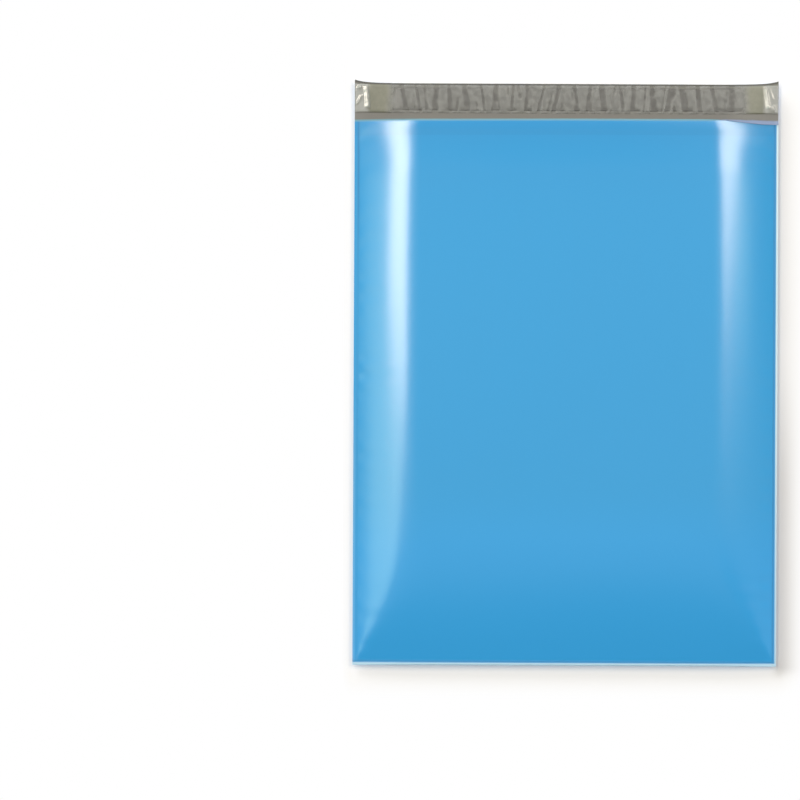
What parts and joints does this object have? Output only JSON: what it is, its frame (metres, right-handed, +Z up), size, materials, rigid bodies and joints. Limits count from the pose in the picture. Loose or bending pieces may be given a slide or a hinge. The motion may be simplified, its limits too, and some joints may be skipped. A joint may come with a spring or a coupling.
{
  "type": "poly mailer bag",
  "caption": "Open, empty shipping bag of glossy blue plastic film with welded sides, a folded bottom, and a flap that carries an adhesive strip under a crinkled release liner.",
  "frame": {"origin": "on the floor under the middle of the bag's outline", "axes": "+Y from the bottom fold to the closure flap, +Z up, away from the back panel that the bag lies on"},
  "size_m": [0.305, 0.4219, 0.0152],
  "materials": {
    "film": "gloss",
    "adhesive": "gloss",
    "liner": "gloss"
  },
  "bodies": {
    "root": {"film_bag": "film", "adhesive_strip": "adhesive", "release_liner": "liner"}
  },
  "joints": []
}
